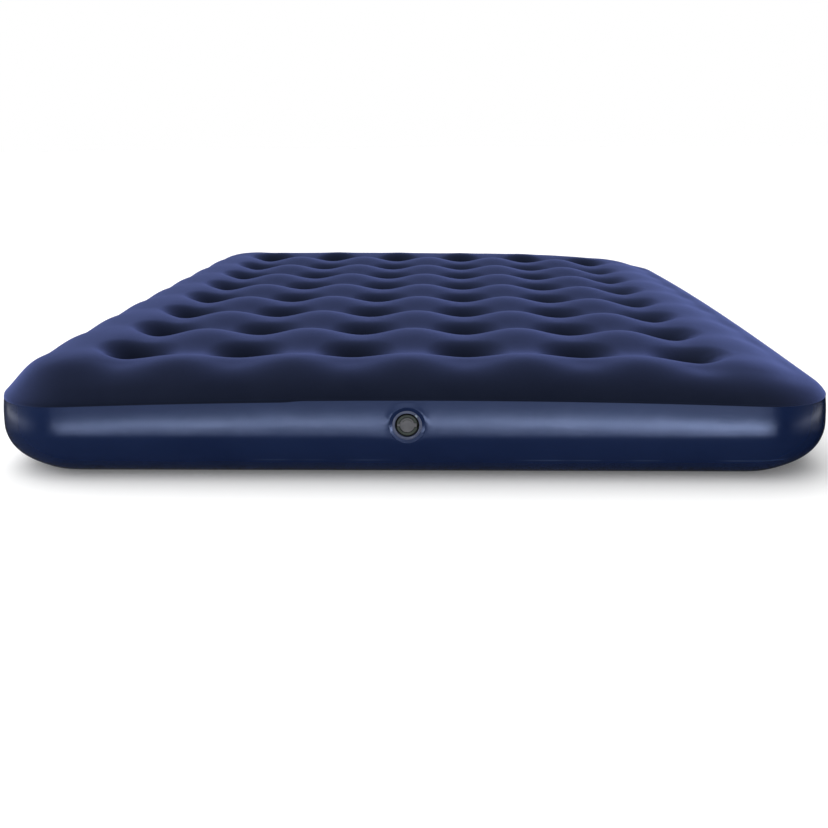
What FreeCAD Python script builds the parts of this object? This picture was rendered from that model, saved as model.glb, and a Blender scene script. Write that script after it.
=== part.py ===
import FreeCAD, Part
import math
import os

import Sketcher

# An inflated flocked air bed with coil beams and a screw valve. Millimetres.
# Frame: origin in the middle of the base, on the floor; +Z up; +Y along the bed, away from
# the valve, which is in the middle of the -Y side.
#
# Three films make the envelope: the top sheet, the side wall and the bottom sheet. Each coil
# beam is a tube of film between two weld rings, and each ring pulls a round pit into its sheet.
# The valve's pieces share one frame of their own: Z out of the wall, X as the bed's, Y up.

SIZES = {
    # the envelope
    "bed_length": 2030,
    "bed_width": 1520,
    "bed_height": 220,
    "film": 1.2,
    "plan_corner": 150,
    "foot_round": 65,
    "crown_round": 80,
    "top_seam_height": 149,
    "base_seam_height": 24,
    # the coil beams and their pits
    "column_pitch": 210,
    "row_pitch": 233,
    "pit_radius": 55,
    "top_pit_depth": 68,
    "top_pit_round": 48,
    "base_pit_depth": 20,
    "base_pit_round": 16,
    "coil_radius": 52,
    "weld_ring_width": 8,
    "breather_radius": 8,
    # the valve: radii, and depths under the front of the wall
    "valve_height": 106,
    "flange_radius": 33,
    "flange_lip": 1.4,
    "flange_sunk": 0.6,
    "flange_back": 2,
    "rim_radius": 26,
    "rim_back": 3,
    "neck_radius": 24,
    "neck_bore": 21.5,
    "neck_back": 20,
    "seat_front": 18,
    "seat_bore": 17.5,
    "cap_gap": 0.3,
    "cap_face": 7,
    "cap_plate": 2,
    "cap_back": 15.5,
    "cap_skirt": 2.2,
    "collar_radius": 17.5,
    "collar_bore": 14,
    "collar_front": 1,
    "collar_lip": 0.8,
    "collar_lip_back": 2,
    "tube_bore": 10,
    "tube_wall": 2,
    "tube_front": 3.5,
    "tube_back": 18,
    "notch_depth": 5.5,
    "notch_inner": 13,
    "notch_outer": 19.5,
    "tab_notch_half": 2.6,
    "hinge_notch_half": 4.2,
    "gasket_inner": 17.8,
    "gasket_outer": 21,
    "gasket_back": 17.9,
    "plug_radius": 13,
    "plug_front": 1.5,
    "plug_back": 11.5,
    "plug_grip": 11.5,
    "stem_root": 9.7,
    "stem_end": 8,
    "stem_wall": 1.8,
    "tab_end": 17.4,
    "tab_half": 2,
    "lug_end": 16.6,
    "lug_half": 3.4,
    "lug_back": 3.1,
    "tether_inner": 17.9,
    "tether_outer": 20.4,
    "tether_front": 5,
    "tether_back": 6.6,
    "strap_half": 2.6,
    "strap_front": 0.6,
    "strap_back": 2.2,
    "strap_root": 18.5,
    "strap_end": 24.6,
    "strap_notch_half": 3,
    "strap_notch_inner": 19.5,
    "strap_notch_outer": 25,
    "strap_notch_depth": 2.6,
    "strap_angle": 45,
    "flap_seat_radius": 12,
    "flap_seat_back": 19.5,
    "flap_port_radius": 2.3,
    "flap_port_circle": 5.9,
    "flap_radius": 11.5,
    "flap_front": 19.6,
    "flap_back": 20.5,
}
COLUMNS = 6
ROWS = 8
FLAP_PORTS = 5
OUT_OF_WALL = FreeCAD.Rotation(FreeCAD.Vector(1, 0, 0), 90)
SPARE = 10  # how far a cutting shape passes the faces it cuts

doc = FreeCAD.newDocument("air_mattress")
sheet = doc.addObject("Spreadsheet::Sheet", "sizes")
for line, (alias, number) in enumerate(SIZES.items(), start=1):
    sheet.set(f"A{line}", alias)
    sheet.set(f"B{line}", str(number))
    sheet.setAlias(f"B{line}", alias)
doc.recompute()


class Size:
    """A number of millimetres with the spreadsheet expression that gives it."""

    def __init__(self, value, text):
        self.value = float(value)
        self.text = text

    def _with(self, other, sign, number, swap=False):
        if not isinstance(other, Size):
            other = Size(other, repr(other))
        first, second = (other, self) if swap else (self, other)
        return Size(number(first.value, second.value), f"({first.text} {sign} {second.text})")

    def __add__(self, other):
        return self._with(other, "+", lambda a, b: a + b)

    def __radd__(self, other):
        return self._with(other, "+", lambda a, b: a + b, swap=True)

    def __sub__(self, other):
        return self._with(other, "-", lambda a, b: a - b)

    def __rsub__(self, other):
        return self._with(other, "-", lambda a, b: a - b, swap=True)

    def __mul__(self, other):
        return self._with(other, "*", lambda a, b: a * b)

    __rmul__ = __mul__

    def __truediv__(self, other):
        return self._with(other, "/", lambda a, b: a / b)

    def __neg__(self):
        return Size(-self.value, f"(-{self.text})")


def size(alias):
    """The size that the sheet holds under that alias."""
    return Size(SIZES[alias], f"sizes.{alias}")


ZERO = Size(0, "0")


def new_body(name):
    body = doc.addObject("PartDesign::Body", name)
    body.Label = name
    return body


def bind(thing, field, wanted):
    """Ties a property to the sheet."""
    thing.setExpression(field, wanted.text)


def sketch_on(body, role, lift=ZERO):
    """A new sketch on one of the body's own origin planes, raised along its normal."""
    sketch = body.newObject("Sketcher::SketchObject", body.Name + "_sketch")
    plane = next(f for f in body.Origin.OriginFeatures if f.Role == role)
    sketch.AttachmentSupport = [(plane, "")]
    sketch.MapMode = "FlatFace"
    if lift is not ZERO:
        bind(sketch, "AttachmentOffset.Base.z", lift)
    return sketch


def pin_point(sketch, geometry, point, x, y):
    """Holds a point of the sketch at (x, y), each a size from the sheet."""
    for kind, where, axis in (("DistanceX", x, -2), ("DistanceY", y, -1)):
        if where.value == 0:
            sketch.addConstraint(Sketcher.Constraint("PointOnObject", geometry, point, axis))
            continue
        number = sketch.addConstraint(Sketcher.Constraint(kind, geometry, point, where.value))
        bind(sketch, f"Constraints[{number}]", where)


def draw_outline(sketch, corners):
    """A closed outline of straight lines through corners, each a pair of sizes."""
    spots = [FreeCAD.Vector(x.value, y.value, 0) for x, y in corners]
    first = sketch.GeometryCount
    count = len(corners)
    for i in range(count):
        sketch.addGeometry(Part.LineSegment(spots[i], spots[(i + 1) % count]), False)
    for i, (x, y) in enumerate(corners):
        pin_point(sketch, first + i, 1, x, y)
    for i in range(count):
        after = first + (i + 1) % count
        sketch.addConstraint(Sketcher.Constraint("Coincident", first + i, 2, after, 1))


def draw_box(sketch, x0, x1, y0, y1):
    draw_outline(sketch, [(x0, y0), (x1, y0), (x1, y1), (x0, y1)])


def draw_circle(sketch, x, y, radius):
    middle = FreeCAD.Vector(x.value, y.value, 0)
    circle = Part.Circle(middle, FreeCAD.Vector(0, 0, 1), radius.value)
    geometry = sketch.addGeometry(circle, False)
    pin_point(sketch, geometry, 3, x, y)
    number = sketch.addConstraint(Sketcher.Constraint("Radius", geometry, radius.value))
    bind(sketch, f"Constraints[{number}]", radius)


def pad(body, sketch, length):
    feature = body.newObject("PartDesign::Pad", body.Name + "_pad")
    feature.Profile = sketch
    bind(feature, "Length", length)
    doc.recompute()
    return feature


def pocket(body, sketch, depth, upwards=False):
    """Cuts the sketch out, down its normal or up it, and makes sure that it did cut."""
    before = body.Shape.Volume
    feature = body.newObject("PartDesign::Pocket", body.Name + "_pocket")
    feature.Profile = sketch
    feature.Reversed = upwards
    bind(feature, "Length", depth)
    doc.recompute()
    if not feature.Shape.Volume < before:
        raise RuntimeError(f"{feature.Name} cuts nothing")
    return feature


def turn(body, corners):
    """A solid turned about the body's own Z from an outline of (radius, height) corners."""
    sketch = sketch_on(body, "XZ_Plane")
    draw_outline(sketch, corners)
    feature = body.newObject("PartDesign::Revolution", body.Name + "_turned")
    feature.Profile = sketch
    feature.ReferenceAxis = (sketch, ["V_Axis"])
    feature.Angle = 360
    doc.recompute()
    return feature


def round_edges(body, feature, radius, belongs):
    """Fillets the edges of the feature for which belongs(edge) is true."""
    names = [f"Edge{i}" for i, edge in enumerate(feature.Shape.Edges, start=1) if belongs(edge)]
    fillet = body.newObject("PartDesign::Fillet", body.Name + "_fillet")
    fillet.Base = (feature, names)
    bind(fillet, "Radius", radius)
    doc.recompute()
    return fillet


# --- the envelope ---------------------------------------------------------------------------


def lies_at(height):
    """Tests whether an edge lies flat at that height."""
    def test(edge):
        box = edge.BoundBox
        return abs(box.ZMin - height.value) < 0.01 and abs(box.ZMax - height.value) < 0.01
    return test


def stands(edge):
    """Whether an edge is straight and upright."""
    box = edge.BoundBox
    return box.ZLength > 1 and box.XLength < 0.01 and box.YLength < 0.01


def rim_of_pit(height, radius):
    """Tests whether an edge is the round mouth of a pit at that height."""
    flat = lies_at(height)
    return lambda edge: flat(edge) and abs(edge.BoundBox.XLength - 2 * radius.value) < 0.01


def coil_places():
    """The name and the plan position of each coil beam, row 1 nearest the valve."""
    for row in range(ROWS):
        for column in range(COLUMNS):
            across = size("column_pitch") * (column - (COLUMNS - 1) / 2)
            along = size("row_pitch") * (row - (ROWS - 1) / 2)
            yield f"coil_r{row + 1}_c{column + 1}", across, along


def sink_pits(body, level, depth, radius, fillet_radius, upwards):
    """Cuts the round pits of one sheet and rounds their mouths over into it."""
    sketch = sketch_on(body, "XY_Plane", lift=level)
    for _, across, along in coil_places():
        draw_circle(sketch, across, along, radius)
    cut = pocket(body, sketch, depth, upwards)
    return round_edges(body, cut, fillet_radius, rim_of_pit(level, radius))


def envelope_form(name, inset):
    """The inflated bed as a solid, its whole surface moved inwards by inset."""
    body = new_body(name)
    half_width = size("bed_width") / 2 - inset
    half_length = size("bed_length") / 2 - inset
    floor = inset
    crown = size("bed_height") - inset
    sketch = sketch_on(body, "XY_Plane", lift=floor)
    draw_box(sketch, -half_width, half_width, -half_length, half_length)
    block = pad(body, sketch, crown - floor)
    rounded = round_edges(body, block, size("plan_corner") - inset, stands)
    crowned = round_edges(body, rounded, size("crown_round") - inset, lies_at(crown))
    round_edges(body, crowned, size("foot_round") - inset, lies_at(floor))
    pit = size("pit_radius") + inset
    sink_pits(body, crown, size("top_pit_depth"), pit, size("top_pit_round") - inset, False)
    sink_pits(body, floor, size("base_pit_depth"), pit, size("base_pit_round") - inset, True)
    return body


def slab(name, low, high):
    """A box wider than the bed between two heights, which keeps one film of the envelope."""
    box = doc.addObject("Part::Box", name)
    bind(box, "Length", size("bed_width") + 2 * SPARE)
    bind(box, "Width", size("bed_length") + 2 * SPARE)
    bind(box, "Height", high - low)
    bind(box, "Placement.Base.x", -(size("bed_width") / 2 + SPARE))
    bind(box, "Placement.Base.y", -(size("bed_length") / 2 + SPARE))
    bind(box, "Placement.Base.z", low)
    return box


def film_between(name, shell, low, high):
    film = doc.addObject("Part::Common", name)
    film.Base = shell
    film.Tool = slab(name + "_slab", low, high)
    film.Label = name
    return film


def make_envelope():
    """The top sheet, the side wall with its valve hole, and the bottom sheet."""
    shell = doc.addObject("Part::Cut", "envelope")
    shell.Base = envelope_form("outer_form", ZERO)
    shell.Tool = envelope_form("inner_form", size("film"))
    top = film_between("top_sheet", shell, size("top_seam_height"), size("bed_height") + SPARE)
    bottom = film_between("bottom_sheet", shell, -Size(SPARE, str(SPARE)), size("base_seam_height"))
    band = film_between("side_band", shell, size("base_seam_height"), size("top_seam_height"))
    hole = doc.addObject("Part::Cylinder", "valve_hole")
    bind(hole, "Radius", size("flange_radius"))
    bind(hole, "Height", size("plan_corner"))
    hole.Placement.Rotation = OUT_OF_WALL
    bind(hole, "Placement.Base.y", -(size("bed_length") / 2) + size("plan_corner") / 2)
    bind(hole, "Placement.Base.z", size("valve_height"))
    wall = doc.addObject("Part::Cut", "side_wall")
    wall.Base = band
    wall.Tool = hole
    wall.Label = "side_wall"
    doc.recompute()
    return [top, wall, bottom]


def make_coil(name, across, along):
    """A tube of film with a weld flange turned in at each end and two breather holes."""
    body = new_body(name)
    low = size("base_pit_depth") + size("film")
    high = size("bed_height") - size("top_pit_depth") - size("film")
    outer = size("coil_radius")
    inner = outer - size("film")
    ring = outer - size("weld_ring_width")
    turn(body, [
        (ring, low),
        (outer, low),
        (outer, high),
        (ring, high),
        (ring, high - size("film")),
        (inner, high - size("film")),
        (inner, low + size("film")),
        (ring, low + size("film")),
    ])
    sketch = sketch_on(body, "XZ_Plane", lift=-(outer + SPARE))
    draw_circle(sketch, ZERO, (low + high) / 2, size("breather_radius"))
    pocket(body, sketch, 2 * (outer + SPARE), upwards=True)
    bind(body, "Placement.Base.x", across)
    bind(body, "Placement.Base.y", along)
    return body


# --- the valve ------------------------------------------------------------------------------


def depth(alias):
    """The height, in the valve's frame, of a depth under the front of the wall."""
    return -size(alias)


def new_valve_body(name):
    """A body whose Z points out of the side wall along the valve's axis."""
    body = new_body(name)
    body.Placement.Rotation = OUT_OF_WALL
    bind(body, "Placement.Base.y", -(size("bed_length") / 2))
    bind(body, "Placement.Base.z", size("valve_height"))
    return body


def make_flange():
    """The soft disc round the neck, with a raised lip at its edge."""
    body = new_valve_body("valve_flange")
    lip = size("flange_radius") - size("flange_lip")
    turn(body, [
        (size("rim_radius"), depth("flange_back")),
        (size("flange_radius"), depth("flange_back")),
        (size("flange_radius"), ZERO),
        (lip, ZERO),
        (lip, depth("flange_sunk")),
        (size("rim_radius"), depth("flange_sunk")),
    ])
    return body


def make_neck():
    """The socket that takes the cap: rim, tube and the lip that the gasket closes on."""
    body = new_valve_body("valve_neck")
    turn(body, [
        (size("neck_bore"), ZERO),
        (size("neck_bore"), depth("seat_front")),
        (size("seat_bore"), depth("seat_front")),
        (size("seat_bore"), depth("neck_back")),
        (size("neck_radius"), depth("neck_back")),
        (size("neck_radius"), depth("rim_back")),
        (size("rim_radius"), depth("rim_back")),
        (size("rim_radius"), ZERO),
    ])
    sketch = sketch_on(body, "XY_Plane")
    half = size("strap_notch_half")
    draw_box(sketch, size("strap_notch_inner"), size("strap_notch_outer"), -half, half)
    bind(sketch, "AttachmentOffset.Rotation.Angle", size("strap_angle"))
    pocket(body, sketch, size("strap_notch_depth"))
    return body


def make_cap():
    """The screw cap: collar, face plate and skirt, with the inflation tube in its middle."""
    body = new_valve_body("valve_cap")
    screw = size("neck_bore") - size("cap_gap")
    skirt = screw - size("cap_skirt")
    tube = size("tube_bore") + size("tube_wall")
    plate = size("cap_face") + size("cap_plate")
    lip = size("collar_radius") + size("collar_lip")
    turn(body, [
        (size("tube_bore"), depth("tube_front")),
        (size("tube_bore"), depth("tube_back")),
        (tube, depth("tube_back")),
        (tube, -plate),
        (skirt, -plate),
        (skirt, depth("cap_back")),
        (screw, depth("cap_back")),
        (screw, depth("cap_face")),
        (size("collar_radius"), depth("cap_face")),
        (size("collar_radius"), depth("collar_lip_back")),
        (lip, depth("collar_lip_back")),
        (lip, depth("collar_front")),
        (size("collar_bore"), depth("collar_front")),
        (size("collar_bore"), depth("cap_face")),
        (tube, depth("cap_face")),
        (tube, depth("tube_front")),
    ])
    sketch = sketch_on(body, "XY_Plane")
    inner, outer = size("notch_inner"), size("notch_outer")
    tab, hinge = size("tab_notch_half"), size("hinge_notch_half")
    draw_box(sketch, -outer, -inner, -tab, tab)
    draw_box(sketch, inner, outer, -hinge, hinge)
    pocket(body, sketch, size("notch_depth"))
    return body


def make_gasket():
    """The flat seal between the cap's skirt and the neck's lip."""
    body = new_valve_body("cap_gasket")
    turn(body, [
        (size("gasket_inner"), depth("gasket_back")),
        (size("gasket_outer"), depth("gasket_back")),
        (size("gasket_outer"), depth("cap_back")),
        (size("gasket_inner"), depth("cap_back")),
    ])
    return body


def make_plug():
    """The plug of the inflation tube: disc, hollow tapered stem, hinge lug and pull tab."""
    body = new_valve_body("cap_plug")
    hollow = size("stem_root") - size("stem_wall")
    turn(body, [
        (ZERO, depth("plug_front")),
        (ZERO, depth("tube_front")),
        (hollow, depth("tube_front")),
        (size("stem_end") - size("stem_wall"), depth("plug_back")),
        (size("stem_end"), depth("plug_back")),
        (size("stem_root"), depth("tube_front")),
        (size("plug_radius"), depth("tube_front")),
        (size("plug_radius"), depth("plug_front")),
    ])
    sketch = sketch_on(body, "XY_Plane", lift=depth("lug_back"))
    inside = size("plug_grip")
    draw_box(sketch, inside, size("lug_end"), -size("lug_half"), size("lug_half"))
    draw_box(sketch, -size("tab_end"), -inside, -size("tab_half"), size("tab_half"))
    pad(body, sketch, size("lug_back") - size("plug_front"))
    return body


def make_tether():
    """The retaining ring round the cap's collar and its strap over the neck's rim."""
    body = new_valve_body("cap_tether")
    turn(body, [
        (size("tether_inner"), depth("tether_back")),
        (size("tether_outer"), depth("tether_back")),
        (size("tether_outer"), depth("tether_front")),
        (size("tether_inner"), depth("tether_front")),
    ])
    half = size("strap_half")
    legs = [
        (size("strap_root"), size("tether_outer"), depth("tether_back")),
        (size("strap_root"), size("strap_end"), depth("strap_back")),
    ]
    for near, far, low in legs:
        sketch = sketch_on(body, "XY_Plane", lift=low)
        draw_box(sketch, near, far, -half, half)
        bind(sketch, "AttachmentOffset.Rotation.Angle", size("strap_angle"))
        pad(body, sketch, depth("strap_front") - low)
    return body


def make_flap_seat():
    """The disc with ports at the tube's inner end, which holds the flap against the air."""
    body = new_valve_body("flap_seat")
    sketch = sketch_on(body, "XY_Plane", lift=depth("flap_seat_back"))
    draw_circle(sketch, ZERO, ZERO, size("flap_seat_radius"))
    pad(body, sketch, size("flap_seat_back") - size("tube_back"))
    ports = sketch_on(body, "XY_Plane", lift=depth("tube_back"))
    for port in range(FLAP_PORTS):
        turned = math.tau * port / FLAP_PORTS
        across = size("flap_port_circle") * round(math.sin(turned), 6)
        up = size("flap_port_circle") * round(math.cos(turned), 6)
        draw_circle(ports, across, up, size("flap_port_radius"))
    pocket(body, ports, size("flap_seat_back") - size("tube_back"))
    return body


def make_flap():
    """The one-way flap: a thin disc that swings inwards about its upper edge."""
    body = new_valve_body("check_flap")
    sketch = sketch_on(body, "XY_Plane", lift=depth("flap_back"))
    draw_circle(sketch, ZERO, ZERO, size("flap_radius"))
    pad(body, sketch, size("flap_back") - size("flap_front"))
    return body


def make_valve():
    return [
        make_flange(),
        make_neck(),
        make_cap(),
        make_gasket(),
        make_plug(),
        make_tether(),
        make_flap_seat(),
        make_flap(),
    ]


# --- everything -----------------------------------------------------------------------------


def write_parts(pieces):
    """Checks every object and shape, then writes one STEP file for each piece."""
    doc.recompute()
    for thing in doc.Objects:
        if "Invalid" in thing.State or "Error" in thing.State:
            raise RuntimeError(f"{thing.Label} did not compute: {thing.State}")
    for piece in pieces:
        shape = piece.Shape
        if shape.isNull() or not shape.isValid() or len(shape.Solids) != 1:
            raise RuntimeError(f"{piece.Label} is not one valid solid")
    os.makedirs("parts", exist_ok=True)
    for piece in pieces:
        piece.Shape.exportStep(f"parts/{piece.Label}.step")
        print(f"{piece.Label}: {piece.Shape.Volume / 1000:.1f} cm3")


write_parts(make_envelope() + [make_coil(*place) for place in coil_places()] + make_valve())
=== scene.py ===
"""A queen size air bed with a flocked top over coil beams, and its screw valve. All sizes are metres."""
import math

import bmesh
import bpy
import numpy as np
from mathutils import Matrix, Vector


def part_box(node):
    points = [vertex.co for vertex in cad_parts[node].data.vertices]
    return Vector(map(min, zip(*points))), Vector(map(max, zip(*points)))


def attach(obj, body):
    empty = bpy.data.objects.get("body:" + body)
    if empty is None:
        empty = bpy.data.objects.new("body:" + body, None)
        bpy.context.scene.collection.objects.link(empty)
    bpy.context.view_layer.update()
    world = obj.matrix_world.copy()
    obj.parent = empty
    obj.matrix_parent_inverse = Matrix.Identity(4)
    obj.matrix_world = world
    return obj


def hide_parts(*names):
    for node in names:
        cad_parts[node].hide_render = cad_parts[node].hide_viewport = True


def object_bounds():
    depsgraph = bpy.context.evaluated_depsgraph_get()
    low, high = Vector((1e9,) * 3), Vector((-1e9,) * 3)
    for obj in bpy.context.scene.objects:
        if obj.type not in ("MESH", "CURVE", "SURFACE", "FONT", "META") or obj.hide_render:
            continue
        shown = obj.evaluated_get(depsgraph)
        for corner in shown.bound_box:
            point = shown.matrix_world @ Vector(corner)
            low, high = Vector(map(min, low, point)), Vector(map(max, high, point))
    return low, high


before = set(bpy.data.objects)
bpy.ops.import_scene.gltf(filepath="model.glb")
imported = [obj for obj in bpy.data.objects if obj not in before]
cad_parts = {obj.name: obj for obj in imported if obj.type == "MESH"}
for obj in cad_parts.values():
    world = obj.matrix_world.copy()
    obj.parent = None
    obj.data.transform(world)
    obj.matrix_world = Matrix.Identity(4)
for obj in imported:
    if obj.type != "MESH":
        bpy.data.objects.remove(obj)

cad_box = [list(corner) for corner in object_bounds()]
bpy.ops.object.select_all(action="DESELECT")

# ---------------------------------------------------------------- sizes, from the frame
COLUMNS, ROWS = 6, 8


def middle(node):
    low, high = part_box(node)
    return (low + high) / 2


PITCH_X = middle("coil_r1_c2").x - middle("coil_r1_c1").x
PITCH_Y = middle("coil_r2_c1").y - middle("coil_r1_c1").y
COIL_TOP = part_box("coil_r1_c1")[1].z
COIL_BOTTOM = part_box("coil_r1_c1")[0].z
COIL_RADIUS = (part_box("coil_r1_c1")[1].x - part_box("coil_r1_c1")[0].x) / 2
VALVE = middle("valve_flange")
FLANGE_RADIUS = (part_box("valve_flange")[1].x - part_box("valve_flange")[0].x) / 2

HALF_WIDTH, HALF_LENGTH = cad_box[1][0], cad_box[1][1]

# The inflated form. Heights are above the floor, insets are in from the widest outline.
BULGE = 0.0055                                  # how far the long sides stand proud of the nominal width
HALF_WIDTH += BULGE
PLAN_RADIUS = 0.1487                            # corners, seen from above
SEAM_INSET = 0.0045
SEAM_HEIGHT = 0.1525                            # of the top seam, in the middle of each side
SEAM_DROOP = 0.0165                             # how much lower the seam's line runs towards the corners
WIDEST_HEIGHT = 0.0842
FOOT_INSET = 0.0901                             # of the line where the side meets the floor
CORNER_FOOT_INSET = 0.020                       # more of the same, round the corners
CROWN_HEIGHT = 0.2195                           # where four coils meet
CROWN_RUN = 0.1269                              # from the seam in to the full height
CROWN_POWERS = (2.27, 1.15)
EDGE_DROP = 0.017                               # outer columns sit lower than the middle ones
EDGE_LEAN = -0.0090                             # and the +X edge sits a little lower than the -X edge
LEAN, TWIST, NOSE_UP = -0.0037, -0.0036, -0.005
FIELD_X, FIELD_Y = 0.63, 0.93                   # the drop, leans and twist are given at this place
LEAN_START, LEAN_RUN, EDGE_LEAN_RUN = 0.01, 0.08, 0.06
ROW_SADDLE = 0.0169                             # dip between two rows, at a pit column's middle
COLUMN_SADDLE = 0.0270                          # dip between two neighbours in one row
PIT_DROP = 0.031
PIT_FLOOR = COIL_TOP + 0.0030
PIT_FLAT = COIL_RADIUS - 0.010
PIT_MOUTH = 0.086
PIT_POWERS = (1.8, 1.6)
PIT_DOME, DOME_MARGIN = 0.002, 0.008            # the welded disc swells a little inside its ring
WELD_SINK, WELD_IN, WELD_WIDTH = 0.0011, 0.004, 0.0022
END_PACE = 0.75                                 # the dips between rows run wider past the last row
SIDE_CALM, SIDE_CALM_RUN = 0.8, 0.080           # the waves fade past the outer columns
FAR_CALM, FAR_CALM_RUN = 0.7, 0.085             # and past the far row
WAVE_START, WAVE_RUN = 0.02, 0.07               # and from here in to their full depth
BASE_PIT_RISE = COIL_BOTTOM - 0.0006            # height of the base's pits above the floor
BASE_PIT_MOUTH, BASE_PIT_MARGIN = 0.071, 0.002
HOLE_RADIUS = FLANGE_RADIUS - 0.0002
HOLE_BAND = 0.0006                              # points this near the hole's edge belong to its rim
HEM_STEP, HEM_STEP_X = 0.0024, -0.196           # the flock's edge steps down left of this place on the front
HEM_STEP_RUN = 0.012
HEM = ((0.0008, 0.0006), (0.0011, 0.0016), (0.0010, 0.0028), (0.0002, 0.0034))      # outwards, down
FLANGE_PAD = 0.0330                             # the wall is flat this far round the valve's axis
FLANGE_FADE = 0.009
TOP_FRAMES, TOP_PRESSURE = 12, 2.0               # of the cloth that blows the top up
TOP_SWELL = 0.004                               # no point of the top moves further than this
WELD_HOLD, SEAM_HOLD = 0.012, 0.02              # the film is free this far from a weld and the seam
TETHER_RING_EDGE = (0.0208, 0.0222)             # the tether turns from painted shade, near black, to its pale plastic between these radii
LOWER_WELD = 0.0385                             # height of the faint weld line low on the sides

# How finely the sheets are divided.
ANGLES = 48                                     # points round one pit, twelve for each side of its cell
TOP_RADII = (0.014, 0.028, 0.040, 0.0465, 0.0495, 0.0520, 0.0550, 0.0575, 0.0610, 0.0660, 0.0720, 0.0790,
             0.0860)
TOP_STEPS = (0.25, 0.5, 0.75, 1.0)
BASE_RADII = (0.02, 0.045, 0.054, 0.058, 0.0625, 0.067, 0.071)
BASE_STEPS = (0.5, 1.0)
BORDER_ROWS = 18
UPPER_ROWS, LOWER_ROWS = 12, 20                 # of the side, above and below its widest line
PATCH_ROWS = (1, UPPER_ROWS + 5)                # of the side, that the patch round the valve replaces
PATCH_SHARES = (0.0, 0.02, 0.05, 0.09, 0.14, 0.2, 0.28, 0.38, 0.52, 0.68, 0.85)     # from hole to edge
CORNER_X, CORNER_Y = 0.13, 0.18                 # the outline's points spread out this far before a corner
TOUCH = 0.001                                   # slack in a comparison of places


# ---------------------------------------------------------------- meshes
def smooth_step(t):
    t = np.clip(t, 0, 1)
    return t * t * (3 - 2 * t)


def rounded_rise(t, power, lift):
    """0 to 1 along a superellipse that ends level."""
    return (1 - (1 - np.clip(t, 0, 1)) ** power) ** (1 / lift)


def distance_in(x, y):
    """How far a place in plan lies inside the widest outline."""
    qx = np.abs(x) - (HALF_WIDTH - PLAN_RADIUS)
    qy = np.abs(y) - (HALF_LENGTH - PLAN_RADIUS)
    outside = np.hypot(np.maximum(qx, 0), np.maximum(qy, 0))
    return PLAN_RADIUS - (outside + np.minimum(np.maximum(qx, qy), 0))


def seam_height(x, y):
    return SEAM_HEIGHT - SEAM_DROOP * (x / HALF_WIDTH) ** 2 * (y / HALF_LENGTH) ** 2


def cell_middle(value, pitch, count):
    index = np.clip(np.floor(value / pitch + count / 2), 0, count - 1)
    return (index - (count - 1) / 2) * pitch


def coil_distance(x, y):
    """How far a place in plan is from the middle of its own coil."""
    return np.hypot(x - cell_middle(x, PITCH_X, COLUMNS), y - cell_middle(y, PITCH_Y, ROWS))


def trough(value, pitch, count):
    """1 along a line of pits, 0 half way between two lines and outside the last ones."""
    return np.where(np.abs(value) < count / 2 * pitch, (1 - np.cos(2 * np.pi * value / pitch)) / 2, 0)


def top_height(x, y):
    """Height of the flocked sheet over a place in plan."""
    inside = distance_in(x, y)
    across, along = x / FIELD_X, y / FIELD_Y
    edge = np.abs(across) ** 4
    seam = seam_height(x, y)
    crown = CROWN_HEIGHT - EDGE_DROP * edge + TWIST * across * along + NOSE_UP * along
    crown = seam + (crown - seam) * rounded_rise((inside - SEAM_INSET) / CROWN_RUN, *CROWN_POWERS)
    crown = crown + LEAN * across * smooth_step((inside - LEAN_START) / LEAN_RUN) \
        + EDGE_LEAN * np.sign(x) * edge * smooth_step((inside - LEAN_START) / EDGE_LEAN_RUN)
    last_row, last_column = (ROWS - 1) / 2 * PITCH_Y, (COLUMNS - 1) / 2 * PITCH_X
    past_rows = np.maximum(np.abs(y) - last_row, 0)
    past_columns = np.maximum(np.abs(x) - last_column, 0)
    dip_x, dip_y = trough(x, PITCH_X, COLUMNS), trough(y, PITCH_Y, ROWS)
    wide_dip_y = trough(np.minimum(np.abs(y), last_row) + END_PACE * past_rows, PITCH_Y, ROWS)
    side_calm = 1 - SIDE_CALM * smooth_step(past_columns / SIDE_CALM_RUN)
    calm = (1 - FAR_CALM * (y > 0) * smooth_step(past_rows / FAR_CALM_RUN)) * side_calm
    waves = COLUMN_SADDLE * wide_dip_y * (1 - dip_x) * side_calm \
        + (ROW_SADDLE * (1 - dip_y) + PIT_DROP * dip_y) * dip_x * calm
    form = crown - waves * smooth_step((inside - WAVE_START) / WAVE_RUN)
    radius = coil_distance(x, y)
    pit = rounded_rise((radius - PIT_FLAT) / (PIT_MOUTH - PIT_FLAT), *PIT_POWERS)
    weld = WELD_SINK * np.exp(-((radius - PIT_FLAT + WELD_IN) / WELD_WIDTH) ** 2)
    dome = PIT_DOME * (1 - np.clip(radius / (PIT_FLAT - DOME_MARGIN), 0, 1) ** 2)
    floor = PIT_FLOOR + dome - weld
    return floor + (form - floor) * pit


def cell_rim(half_x, half_y):
    """Twelve points along each side of a cell, anticlockwise from its lower right corner."""
    side = ANGLES // 4
    run = np.linspace(-1, 1, side, endpoint=False)
    right = np.stack([np.full(side, half_x), run * half_y], 1)
    top = np.stack([-run * half_x, np.full(side, half_y)], 1)
    return np.concatenate([right, top, -right, -top])


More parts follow.
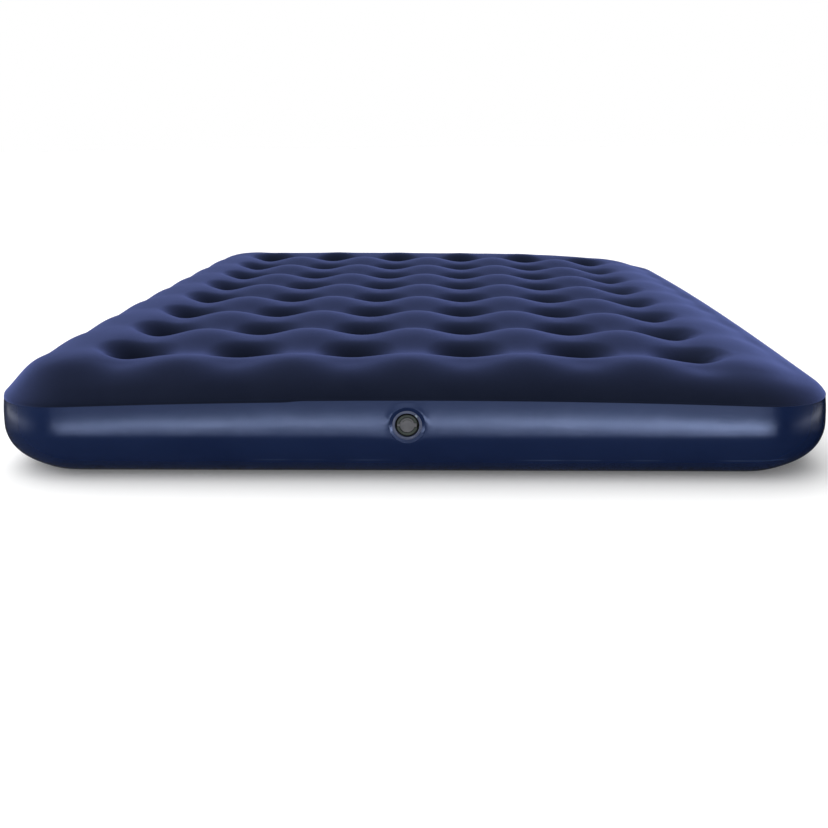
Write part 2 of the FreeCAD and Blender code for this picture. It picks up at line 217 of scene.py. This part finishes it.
class Shell:
    """Gathers points and faces of an open sheet, then makes one welded mesh of them."""

    def __init__(self):
        self.points, self.faces = [], []

    def ring(self, points):
        start = len(self.points)
        self.points.extend(map(tuple, points))
        return list(range(start, start + len(points)))

    def bridge(self, inner, outer, closed=True):
        count = len(inner)
        for i in range(count if closed else count - 1):
            j = (i + 1) % count
            self.faces.append((inner[i], outer[i], outer[j], inner[j]))

    def fan(self, point, ring):
        middle_index = self.ring([point])[0]
        for i in range(0, len(ring), 2):
            self.faces.append((middle_index, ring[i], ring[(i + 1) % len(ring)], ring[(i + 2) % len(ring)]))

    def build(self, name, upward=True):
        mesh = bpy.data.meshes.new(name)
        mesh.from_pydata(self.points, [], self.faces)
        piece = bpy.data.objects.new(name, mesh)
        bpy.context.scene.collection.objects.link(piece)
        shell = bmesh.new()
        shell.from_mesh(mesh)
        bmesh.ops.remove_doubles(shell, verts=shell.verts, dist=1e-5)
        if not upward:
            bmesh.ops.reverse_faces(shell, faces=shell.faces)
        shell.to_mesh(mesh)
        shell.free()
        mesh.shade_smooth()
        return piece


def outline(inset):
    """The outline at an inset, one point for each point of the cells' outer rim, with its outward normals."""
    half_x, half_y = COLUMNS / 2 * PITCH_X, ROWS / 2 * PITCH_Y
    side = ANGLES // 4
    bend_x, bend_y = HALF_WIDTH - PLAN_RADIUS, HALF_LENGTH - PLAN_RADIUS
    start_x, start_y = half_x - CORNER_X, half_y - CORNER_Y
    arc = PLAN_RADIUS * math.pi / 4

    def on_side(value, half, start, bend):
        """Place along a side: the plain coordinate, and the angle turned round the corner."""
        beyond = (abs(value) - start) / (half - start)
        if beyond <= 0:
            return abs(value), 0.0
        run = start + beyond * (bend - start + arc)
        return (run, 0.0) if run <= bend else (bend, (run - bend) / PLAN_RADIUS)

    points, normals = [], []
    counts = (ROWS * side, COLUMNS * side)
    for edge in range(4):
        along_y = edge % 2 == 0
        count, half, start, bend = ((counts[0], half_y, start_y, bend_y) if along_y
                                    else (counts[1], half_x, start_x, bend_x))
        for i in range(count):
            value = half * (2 * i / count - 1)
            place, turn = on_side(value, half, start, bend)
            sign = -1 if value < 0 else 1
            if along_y:
                normal = (math.cos(turn), sign * math.sin(turn))
                corner = (bend_x, sign * place)
            else:
                normal = (-sign * math.sin(turn), math.cos(turn))
                corner = (-sign * place, bend_y)
            centre = np.array(corner)
            point = centre + PLAN_RADIUS * np.array(normal)
            flip = -1 if edge >= 2 else 1
            points.append(flip * (point - inset * np.array(normal)))
            normals.append(flip * np.array(normal))
    return np.array(points), np.array(normals)


def inner_rim():
    """The rim round all the cells, point by point as outline() has them."""
    half_x, half_y = COLUMNS / 2 * PITCH_X, ROWS / 2 * PITCH_Y
    side = ANGLES // 4
    run_y = np.linspace(-1, 1, ROWS * side, endpoint=False) * half_y
    run_x = np.linspace(-1, 1, COLUMNS * side, endpoint=False) * half_x
    right = np.stack([np.full(len(run_y), half_x), run_y], 1)
    top = np.stack([-run_x, np.full(len(run_x), half_y)], 1)
    return np.concatenate([right, top, -right, -top])


def add_cells(shell, height, radii, steps):
    """One polar patch for each coil: a round pit that widens to its rectangular cell."""
    rim = cell_rim(PITCH_X / 2, PITCH_Y / 2)
    reach = np.hypot(rim[:, 0], rim[:, 1])
    direction = rim / reach[:, None]
    plans = [direction * r for r in radii] + \
        [direction * (radii[-1] + (reach - radii[-1]) * s)[:, None] for s in steps]
    for row in range(ROWS):
        for column in range(COLUMNS):
            centre = np.array([(column - (COLUMNS - 1) / 2) * PITCH_X, (row - (ROWS - 1) / 2) * PITCH_Y])
            rings = []
            for plan in plans:
                place = plan + centre
                z = height(place[:, 0], place[:, 1])
                rings.append(shell.ring(np.column_stack([place, z])))
            z = height(centre[:1], centre[1:])[0]
            shell.fan((centre[0], centre[1], z), rings[0])
            for inner, outer in zip(rings, rings[1:]):
                shell.bridge(inner, outer)


def make_top():
    """The flocked sheet: pitted cells, and a border that rolls down to the seam and laps over the side."""
    shell = Shell()
    add_cells(shell, top_height, TOP_RADII, TOP_STEPS)
    rim = inner_rim()
    edge, normal = outline(SEAM_INSET)
    last = shell.ring(np.column_stack([rim, top_height(rim[:, 0], rim[:, 1])]))
    for k in range(1, BORDER_ROWS + 1):
        share = 1 - (1 - k / BORDER_ROWS) ** 2
        plan = rim + (edge - rim) * share
        z = top_height(plan[:, 0], plan[:, 1])
        ring = shell.ring(np.column_stack([plan, z]))
        shell.bridge(last, ring)
        last = ring
    seam = seam_height(edge[:, 0], edge[:, 1])
    lap = HEM_STEP * (edge[:, 1] < 0) * smooth_step((HEM_STEP_X - edge[:, 0]) / HEM_STEP_RUN)
    for out, down in HEM:
        plan = edge + normal * out
        ring = shell.ring(np.column_stack([plan, seam - down - lap]))
        shell.bridge(last, ring)
        last = ring
    return shell.build("mattress_top")


def wall_inset(z, seam, corner):
    """How far the side stands in from the widest outline; corner is 0 on the straight and 1 at 45 degrees."""
    upper = np.clip((z - WIDEST_HEIGHT) / (seam - WIDEST_HEIGHT), 0, 1)
    lower = np.clip((WIDEST_HEIGHT - z) / WIDEST_HEIGHT, 0, 1)
    foot = FOOT_INSET + CORNER_FOOT_INSET * corner
    return SEAM_INSET * upper ** 2 + foot * (1 - np.sqrt(1 - lower ** 2))


def flange_pad(x, z):
    """1 where the film lies flat behind the valve's flange, fading to 0 round it."""
    return 1 - smooth_step((np.hypot(x - VALVE.x, z - VALVE.z) - FLANGE_PAD) / FLANGE_FADE)


def wall_ring(edge, normal, heights):
    """Points of the wall at given heights, one for each point of the outline."""
    corner = 4 * (normal[:, 0] * normal[:, 1]) ** 2
    inset = wall_inset(heights, seam_height(edge[:, 0], edge[:, 1]), corner)
    front = edge[:, 1] < 0
    inset = np.where(front, inset * (1 - flange_pad(edge[:, 0], heights)), inset)
    return np.column_stack([edge - normal * inset[:, None], heights])


def make_side():
    """The vinyl border, from the seam down to the floor, flattened round the valve and open behind it."""
    shell = Shell()
    edge, normal = outline(0)
    seam = seam_height(edge[:, 0], edge[:, 1])
    count = len(edge)
    levels = [seam + (WIDEST_HEIGHT - seam) * k / UPPER_ROWS for k in range(UPPER_ROWS + 1)]
    levels += [np.full(count, WIDEST_HEIGHT * (1 - math.sin(math.pi / 2 * k / LOWER_ROWS)))
               for k in range(1, LOWER_ROWS + 1)]
    rings = [shell.ring(wall_ring(edge, normal, z)) for z in levels]
    # the columns of the front that the patch round the valve takes the place of
    patch = [i for i in range(count)
             if edge[i, 1] < -HALF_LENGTH + TOUCH and abs(edge[i, 0]) < PITCH_X / 2 + TOUCH]
    first_row, last_row = PATCH_ROWS
    for row in range(len(rings) - 1):
        for i in range(count):
            j = (i + 1) % count
            if first_row <= row < last_row and i in patch[:-1]:
                continue
            shell.faces.append((rings[row][i], rings[row + 1][i], rings[row + 1][j], rings[row][j]))
    loop = [(r, patch[0]) for r in range(first_row, last_row)] \
        + [(last_row, i) for i in patch[:-1]] \
        + [(r, patch[-1]) for r in range(last_row, first_row, -1)] \
        + [(first_row, i) for i in reversed(patch[1:])]
    border = np.array([shell.points[rings[r][i]] for r, i in loop])
    offset = border[:, [0, 2]] - np.array([VALVE.x, VALVE.z])
    reach = np.hypot(offset[:, 0], offset[:, 1])
    around = offset / reach[:, None]
    last = None
    for share in PATCH_SHARES:
        plan = around * (HOLE_RADIUS + (reach - HOLE_RADIUS) * share)[:, None]
        x, z = plan[:, 0] + VALVE.x, plan[:, 1] + VALVE.z
        inset = wall_inset(z, seam_height(x, -HALF_LENGTH), 0) * (1 - flange_pad(x, z))
        ring = shell.ring(np.column_stack([x, inset - HALF_LENGTH, z]))
        if last:
            shell.bridge(last, ring)
        last = ring
    shell.bridge(last, [rings[r][i] for r, i in loop])
    return shell.build("mattress_side")


def base_height(x, y):
    run = BASE_PIT_MOUTH - COIL_RADIUS - BASE_PIT_MARGIN
    return BASE_PIT_RISE * smooth_step((BASE_PIT_MOUTH - coil_distance(x, y)) / run)


def make_base():
    """The underside: flat on the floor, with a shallow pit at every coil."""
    shell = Shell()
    add_cells(shell, base_height, BASE_RADII, BASE_STEPS)
    rim = inner_rim()
    edge, normal = outline(0)
    last = shell.ring(np.column_stack([rim, np.zeros(len(rim))]))
    shell.bridge(last, shell.ring(wall_ring(edge, normal, np.zeros(len(edge)))))
    return shell.build("mattress_base", upward=False)


# ---------------------------------------------------------------- materials
class Socket:
    """A shader socket that takes part in Python expressions."""

    def __init__(self, nodes, output):
        self.nodes, self.output = nodes, output

    def _maths(self, operation, *values):
        return self.nodes.node("ShaderNodeMath", {"operation": operation}, dict(enumerate(values)))

    def __add__(self, other):
        return self._maths("ADD", self, other)

    def __mul__(self, other):
        return self._maths("MULTIPLY", self, other)

    def __sub__(self, other):
        return self._maths("SUBTRACT", self, other)

    def __rsub__(self, other):
        return self._maths("SUBTRACT", other, self)

    def __truediv__(self, other):
        return self._maths("DIVIDE", self, other)

    def __pow__(self, other):
        return self._maths("POWER", self, other)

    def __abs__(self):
        return self._maths("ABSOLUTE", self)

    __radd__ = __add__
    __rmul__ = __mul__


class Nodes:
    """A node tree that is built by expressions."""

    def __init__(self, tree):
        self.tree = tree
        self.tree.nodes.clear()

    def node(self, kind, settings=None, values=None, output=0):
        made = self.tree.nodes.new(kind)
        for key, value in (settings or {}).items():
            if key == "ramp":
                stops = made.color_ramp.elements
                while len(stops) < len(value):
                    stops.new(0.5)
                for stop, (place, level) in zip(stops, value):
                    stop.position, stop.color = place, (level, level, level, 1)
            else:
                setattr(made, key, value)
        for key, value in (values or {}).items():
            self.set(made.inputs[key], value)
        return None if output is None else Socket(self, made.outputs[output])

    def set(self, target, value):
        if isinstance(value, Socket):
            self.tree.links.new(value.output, target)
        elif isinstance(value, tuple) and len(value) == 3 and target.type == "RGBA":
            target.default_value = (*value, 1)
        else:
            target.default_value = value

    def spread(self, value, low, high, to_low=0.0, to_high=1.0):
        return self.node("ShaderNodeMapRange", {}, {0: value, 1: low, 2: high, 3: to_low, 4: to_high})


class Finish(Nodes):
    """A material under construction, with its Principled shader."""

    def __init__(self, name, **constants):
        self.material = bpy.data.materials.new(name)
        self.material.use_nodes = True
        super().__init__(self.material.node_tree)
        self.shader = self.tree.nodes.new("ShaderNodeBsdfPrincipled")
        surface = Socket(self, self.shader.outputs[0])
        self.node("ShaderNodeOutputMaterial", {}, {"Surface": surface}, output=None)
        for key, value in constants.items():
            self.shader.inputs[key.replace("_", " ")].default_value = value

    def place(self, stretch=(1, 1, 1)):
        where = self.node("ShaderNodeTexCoord", output="Object")
        if stretch == (1, 1, 1):
            return where
        return self.node("ShaderNodeMapping", {}, {"Vector": where, "Scale": stretch})

    def noise(self, scale, detail=2.0, roughness=0.5, stretch=(1, 1, 1), distortion=0.0):
        return self.node("ShaderNodeTexNoise", {}, {
            "Vector": self.place(stretch), "Scale": scale, "Detail": detail,
            "Roughness": roughness, "Distortion": distortion})

    def between(self, factor, low, high):
        """Two colours mixed by a factor."""
        mixed = {"Factor": factor, "A": low, "B": high}
        return self.node("ShaderNodeMix", {"data_type": "RGBA"}, mixed, output=2)

    def bump(self, height, strength, distance, under=None):
        """A relief of some height, on top of another one if that is given."""
        values = {"Height": height, "Strength": strength, "Distance": distance}
        if under:
            values["Normal"] = under
        return self.node("ShaderNodeBump", {}, values)

    def feed(self, **inputs):
        for key, value in inputs.items():
            self.set(self.shader.inputs[key.replace("_", " ")], value)
        return self.material


def flock():
    """Short rayon fibres on the film: nearly black face on, pale blue where the eye grazes the nap."""
    finish = Finish("navy_flock", Sheen_Weight=0.52, Sheen_Roughness=0.50, Sheen_Tint=(0.29, 0.38, 1.0, 1),
                    Specular_IOR_Level=0.03)
    fibres = finish.noise(1400, 3, 0.6)
    nap = finish.noise(9, 3, 0.55, stretch=(1, 0.7, 1), distortion=0.4)
    shade = finish.spread(fibres * 0.55 + nap * 0.45, 0.35, 0.65)
    colour = finish.between(shade, (0.0025, 0.0040, 0.0070), (0.0050, 0.0072, 0.0125))
    pile = finish.bump(fibres * 0.8 + finish.noise(420, 2) * 0.2, 0.5, 0.0006)
    return finish.feed(Base_Color=colour, Roughness=0.95, Normal=pile)


def vinyl(name, dark, light, roughness=0.18):
    """Calendered film: a soft gloss, a fine skin grain, slow ripples and a faint lower weld."""
    finish = Finish(name, Specular_IOR_Level=0.5, Specular_Tint=(0.50, 0.62, 1.0, 1))
    slow = finish.noise(5, 3, 0.5)
    skin = finish.noise(900, 2, 0.5)
    ripple = finish.noise(11, 3, 0.55, stretch=(1, 1, 0.4))
    pucker = finish.noise(70, 2, 0.5, stretch=(1, 1, 0.3))
    height = finish.node("ShaderNodeSeparateXYZ", {}, {0: finish.place()}, output=2)
    near_seam = finish.spread(height, 0.095, 0.15)
    weld = finish.spread(abs(height - LOWER_WELD), 0.0006, 0.0022, 1.0, 0.0) * finish.spread(slow, 0.5, 0.6)
    colour = finish.between(finish.spread(slow, 0.3, 0.7), dark, light)
    colour = finish.between(weld * 0.35, colour, (0.05, 0.08, 0.16))
    rough = finish.spread(slow * 0.4 + skin * 0.6, 0.3, 0.7, roughness - 0.03, roughness + 0.05)
    relief = finish.bump(skin, 0.1, 0.0002)
    relief = finish.bump(ripple, 0.22, 0.004, relief)
    relief = finish.bump(pucker * near_seam, 0.25, 0.0012, relief)
    relief = finish.bump(weld, 0.4, 0.0006, relief)
    return finish.feed(Base_Color=colour, Roughness=rough, Normal=relief)


def moulded(name, dark, light, roughness, level):
    """Injection moulded soft plastic: cloudy from flow, with a fine satin skin."""
    finish = Finish(name, Specular_IOR_Level=level)
    cloud = finish.noise(60, 3, 0.6)
    skin = finish.noise(2600, 2, 0.5)
    colour = finish.between(finish.spread(cloud, 0.3, 0.7), dark, light)
    rough = finish.spread(cloud * 0.5 + skin * 0.5, 0.3, 0.7, roughness - 0.04, roughness + 0.06)
    return finish.feed(Base_Color=colour, Roughness=rough, Normal=finish.bump(skin, 0.12, 0.0001))


def dress(node_or_piece, material):
    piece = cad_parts[node_or_piece] if isinstance(node_or_piece, str) else node_or_piece
    piece.data.materials.clear()
    piece.data.materials.append(material)


# ---------------------------------------------------------------- the bed
def refine(piece, levels):
    modifier = piece.modifiers.new("finer", "SUBSURF")
    modifier.levels = modifier.render_levels = levels
    bpy.context.view_layer.objects.active = piece
    piece.select_set(True)
    bpy.ops.object.modifier_apply(modifier=modifier.name)
    piece.select_set(False)


def inflate(piece, held, frames, pressure, limit):
    """Blows a film up as cloth. held(points) is 1 where it is welded, and no point moves past the limit."""
    count = len(piece.data.vertices)
    start = np.empty(count * 3)
    piece.data.vertices.foreach_get("co", start)
    start = start.reshape(-1, 3)
    share = held(start)
    welded = piece.vertex_groups.new(name="welded")
    for i in range(count):
        welded.add([i], float(share[i]), "REPLACE")
    modifier = piece.modifiers.new("film", "CLOTH")
    film = modifier.settings
    film.quality, film.mass = 5, 0.3
    film.tension_stiffness = film.compression_stiffness = 25
    film.shear_stiffness, film.bending_stiffness = 8, 2
    film.use_pressure, film.uniform_pressure_force = True, pressure
    film.vertex_group_mass = welded.name
    film.effector_weights.gravity = 0
    modifier.collision_settings.use_collision = False
    scene = bpy.context.scene
    for number in range(1, frames + 1):
        scene.frame_set(number)
    blown = piece.evaluated_get(bpy.context.evaluated_depsgraph_get()).data
    moved = np.empty(count * 3)
    blown.vertices.foreach_get("co", moved)
    shift = moved.reshape(-1, 3) - start
    length = np.linalg.norm(shift, axis=1, keepdims=True)
    shift *= limit * np.tanh(length / limit) / np.maximum(length, 1e-9) * (1 - share[:, None])
    piece.modifiers.remove(modifier)
    piece.vertex_groups.remove(welded)
    piece.data.vertices.foreach_set("co", (start + shift).ravel())
    piece.data.update()
    scene.frame_set(1)


def top_welds(points):
    """1 on the coils' welds and along the seam."""
    x, y = points[:, 0], points[:, 1]
    on_coil = 1 - smooth_step((coil_distance(x, y) - PIT_FLAT) / WELD_HOLD)
    on_seam = 1 - smooth_step((distance_in(x, y) - SEAM_INSET) / SEAM_HOLD)
    return np.maximum(on_coil, on_seam)


def round_hole(piece):
    """Brings the rim of the valve's hole back to a true circle."""
    for point in piece.data.vertices:
        across, up = point.co.x - VALVE.x, point.co.z - VALVE.z
        reach = math.hypot(across, up)
        if point.co.y < 0 and reach < HOLE_RADIUS + HOLE_BAND:
            point.co.x = VALVE.x + across / reach * HOLE_RADIUS
            point.co.z = VALVE.z + up / reach * HOLE_RADIUS


side_vinyl = vinyl("side_vinyl", (0.0055, 0.0125, 0.046), (0.0075, 0.0160, 0.056))
base_vinyl = vinyl("base_vinyl", (0.006, 0.011, 0.035), (0.009, 0.015, 0.045), 0.45)
top, side, base = make_top(), make_side(), make_base()
inflate(top, top_welds, TOP_FRAMES, TOP_PRESSURE, TOP_SWELL)
refine(top, 1)
refine(side, 1)
round_hole(side)
for piece, node, slot, material in (
        (top, "top_sheet", "flocked_top", flock()),
        (side, "side_wall", "side_vinyl", side_vinyl),
        (base, "bottom_sheet", "base_vinyl", base_vinyl)):
    dress(piece, material)
    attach(piece, "mattress")
    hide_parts(node)

coil_vinyl = vinyl("coil_vinyl", (0.012, 0.020, 0.060), (0.016, 0.026, 0.075), 0.4)
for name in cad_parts:
    if name.startswith("coil_"):
        dress(name, coil_vinyl)


# ---------------------------------------------------------------- the valve
def tether_plastic_painted_shade():
    """Painted shade: near black where the ring sits in the shaded gap round the cap; the plastic's own pale
    colour where the strap crosses the rim.
    """
    finish = Finish("tether_plastic_painted_shade", Specular_IOR_Level=0.08)
    spot = finish.node("ShaderNodeMapping", {"vector_type": "TEXTURE"}, {
        "Vector": finish.place(), "Location": (VALVE.x, VALVE.y, VALVE.z), "Scale": (1, 1e6, 1)})
    out = finish.node("ShaderNodeVectorMath", {"operation": "LENGTH"}, {0: spot}, output=1)
    cloud = finish.noise(300, 3, 0.6)
    past_ring = finish.spread(out, *TETHER_RING_EDGE)
    # near black painted shade on the ring inside the gap, the pale plastic past it
    colour = finish.between(past_ring, (0.002, 0.003, 0.003), (0.24, 0.29, 0.36))
    return finish.feed(Base_Color=colour, Roughness=finish.spread(cloud, 0.3, 0.7, 0.38, 0.50),
                       Normal=finish.bump(cloud, 0.1, 0.0002))


def soften(node, width):
    """A copy of a moulded piece with its sharp edges rounded over, in place of the plain one."""
    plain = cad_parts[node]
    piece = plain.copy()
    piece.data = plain.data.copy()
    piece.name = piece.data.name = node + "_moulded"
    bpy.context.scene.collection.objects.link(piece)
    shell = bmesh.new()
    shell.from_mesh(piece.data)
    bmesh.ops.remove_doubles(shell, verts=shell.verts, dist=1e-6)
    bmesh.ops.dissolve_limit(shell, angle_limit=math.radians(1), verts=shell.verts, edges=shell.edges)
    shell.to_mesh(piece.data)
    shell.free()
    bevel = piece.modifiers.new("round", "BEVEL")
    bevel.width, bevel.segments = width, 2
    bevel.limit_method, bevel.angle_limit = "ANGLE", math.radians(40)
    bevel.use_clamp_overlap = True
    bpy.context.view_layer.objects.active = piece
    piece.select_set(True)
    bpy.ops.object.modifier_apply(modifier=bevel.name)
    bpy.ops.object.shade_smooth_by_angle(angle=math.radians(50))
    piece.select_set(False)
    return piece


cap_plastic = moulded("cap_plastic", (0.036, 0.043, 0.040), (0.054, 0.064, 0.058), 0.38, 0.12)
plug_plastic = moulded("plug_plastic", (0.085, 0.088, 0.098), (0.12, 0.12, 0.132), 0.4, 0.2)
seal_rubber = moulded("seal_rubber", (0.012, 0.013, 0.013), (0.02, 0.021, 0.021), 0.6, 0.15)
neck_vinyl = moulded("neck_vinyl", (0.050, 0.062, 0.115), (0.075, 0.090, 0.15), 0.30, 0.30)
for node, material in (("flap_seat", cap_plastic), ("cap_gasket", seal_rubber), ("check_flap", seal_rubber)):
    dress(node, material)
for node, body, slot, width, material in (
        ("valve_flange", "mattress", "valve_flange_vinyl", 0.0006, side_vinyl),
        ("valve_neck", "mattress", "valve_neck_vinyl", 0.0007, neck_vinyl),
        ("cap_tether", "tether", "valve_neck_vinyl", 0.0002, tether_plastic_painted_shade()),
        ("valve_cap", "cap", "valve_cap_plastic", 0.0004, cap_plastic),
        ("cap_plug", "plug", "valve_plug_plastic", 0.0006, plug_plastic)):
    piece = soften(node, width)
    dress(piece, material)
    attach(piece, body)
    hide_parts(node)


def plug_rib(name, radius, start, sweep, thick, material):
    """A round rib moulded on the plug's disc, along an arc about the valve's axis."""
    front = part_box("cap_plug")[0].y
    place = (VALVE.x + radius * math.cos(start), front, VALVE.z + radius * math.sin(start))
    bpy.ops.mesh.primitive_circle_add(vertices=12, radius=thick, location=place, rotation=(0, -start, 0))
    piece = bpy.context.object
    piece.name = piece.data.name = name
    bpy.ops.object.transform_apply(location=True, rotation=True, scale=True)
    bpy.ops.object.mode_set(mode="EDIT")
    bpy.ops.mesh.select_all(action="SELECT")
    bpy.ops.mesh.spin(steps=28, angle=sweep, center=(VALVE.x, front, VALVE.z), axis=(0, 1, 0))
    bpy.ops.mesh.select_all(action="SELECT")
    bpy.ops.mesh.fill_holes(sides=0)
    bpy.ops.mesh.select_all(action="SELECT")
    bpy.ops.mesh.normals_make_consistent(inside=False)
    bpy.ops.object.mode_set(mode="OBJECT")
    bpy.ops.object.shade_smooth_by_angle(angle=math.radians(50))
    piece.select_set(False)
    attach(piece, "plug")
    dress(piece, material)


# The upper rib takes the darker cap plastic: painted shade for the dark line along it. The rim rib keeps the
# plug's own plastic.
plug_rib("plug_upper_rib", radius=0.0098, start=math.radians(35), sweep=math.radians(110), thick=0.0005,
         material=cap_plastic)
plug_rib("plug_rim_rib", radius=0.0124, start=math.radians(-50), sweep=math.radians(278), thick=0.0004,
         material=plug_plastic)


# ---------------------------------------------------------------- floor, light and camera
def make_floor():
    bpy.ops.mesh.primitive_circle_add(vertices=96, radius=60, fill_type="NGON")
    floor = bpy.context.object
    floor.name = "studio_floor"
    floor.location = (0, 0, -0.0008)
    finish = Finish("floor_paint", Specular_IOR_Level=0.1,
                    Emission_Color=(1, 1, 1, 1), Emission_Strength=0.12)
    tone = finish.between(finish.noise(0.6, 2), (0.90, 0.90, 0.90), (0.92, 0.92, 0.92))
    dress(floor, finish.feed(Base_Color=tone, Roughness=0.8))
    floor.visible_glossy = False
    floor.select_set(False)


def area_light(name, place, target, size, power):
    data = bpy.data.lights.new(name, "AREA")
    data.shape, data.size, data.size_y = "RECTANGLE", size[0], size[1]
    data.energy = power
    light = bpy.data.objects.new(name, data)
    light.location = place
    light.rotation_euler = (Vector(target) - Vector(place)).to_track_quat("-Z", "Y").to_euler()
    bpy.context.scene.collection.objects.link(light)


# brightness of the tent by the sine of the elevation, and of the strips that the glossy sides mirror
TENT = ((-1.0, 0.03), (0.0, 0.06), (0.15, 0.30), (0.4, 1.0), (1.0, 1.3))
STRIPS = ((-1.0, 0.0), (-0.30, 0.0), (-0.23, 1.1), (-0.178, 1.4), (-0.170, 27.0), (-0.154, 27.0),
          (-0.146, 1.4), (-0.05, 1.2), (0.06, 1.0), (0.2, 0.3), (0.35, 0.0))
SIDE_STRIP, BACK_STRIP = 0.12, 0.6              # as shares of the front one


def make_sky():
    """A white tent, brightest overhead, with a strip light low down on each of the four sides."""
    world = bpy.data.worlds.new("studio")
    bpy.context.scene.world = world
    world.use_nodes = True
    sky = Nodes(world.node_tree)
    where = sky.node("ShaderNodeTexCoord", output="Generated")
    x, y, z = (sky.node("ShaderNodeSeparateXYZ", {}, {0: where}, output=i) for i in range(3))
    share = sky.spread(z, -1.0, 1.0)

    def by_height(levels):
        stops = [((rise + 1) / 2, brightness) for rise, brightness in levels]
        return sky.node("ShaderNodeValToRGB", {"ramp": stops}, {0: share})

    level = (x * x + y * y + 1e-6) ** 0.5
    front, side, back = y * -1 / level, abs(x) / level, y / level
    brighter_to_right = sky.spread(x, 0.02, 0.17, 1.0, 1.7)
    dimmer_to_right = sky.spread(x, 0.1, 0.7, 1.32, 0.0)
    spans = sky.spread(front, 0.80, 0.95) * brighter_to_right \
        + sky.spread(side, 0.80, 0.98) * SIDE_STRIP + sky.spread(back, 0.94, 0.99) * BACK_STRIP
    glow = by_height(STRIPS) * spans + by_height(TENT) * dimmer_to_right
    tent = sky.node("ShaderNodeBackground", {}, {"Color": (1, 1, 1), "Strength": glow})
    plain = sky.node("ShaderNodeBackground", {}, {"Color": (1, 1, 1)})
    seen = sky.node("ShaderNodeLightPath", output="Is Camera Ray")
    both = sky.node("ShaderNodeMixShader", {}, {0: seen, 1: tent, 2: plain})
    sky.node("ShaderNodeOutputWorld", {}, {"Surface": both}, output=None)


def make_camera():
    focal, frame_size, sensor = 1076.8, 828, 36.0
    place = (0.0789, -2.8307, 0.5931)
    pitch, yaw, roll = 0.2513, 0.0367, -0.0079      # down, to the left, and clockwise, in radians
    data = bpy.data.cameras.new("camera")
    data.sensor_width = sensor
    data.lens = focal / frame_size * sensor
    camera = bpy.data.objects.new("camera", data)
    level_right = Vector((math.cos(yaw), math.sin(yaw), 0))
    forward = Vector((-math.sin(yaw) * math.cos(pitch), math.cos(yaw) * math.cos(pitch), -math.sin(pitch)))
    level_up = Vector((-math.sin(yaw) * math.sin(pitch), math.cos(yaw) * math.sin(pitch), math.cos(pitch)))
    right = level_right * math.cos(roll) + level_up * math.sin(roll)
    up = level_up * math.cos(roll) - level_right * math.sin(roll)
    turn = Matrix((right, up, -forward)).transposed()
    camera.matrix_world = Matrix.Translation(place) @ turn.to_4x4()
    bpy.context.scene.collection.objects.link(camera)
    bpy.context.scene.camera = camera


make_floor()
make_sky()
area_light("overhead", place=(-0.8, 0.6, 3.2), target=(0, 0, 0.2), size=(4.0, 4.0), power=35)
make_camera()
bpy.context.scene.view_settings.view_transform = "Standard"
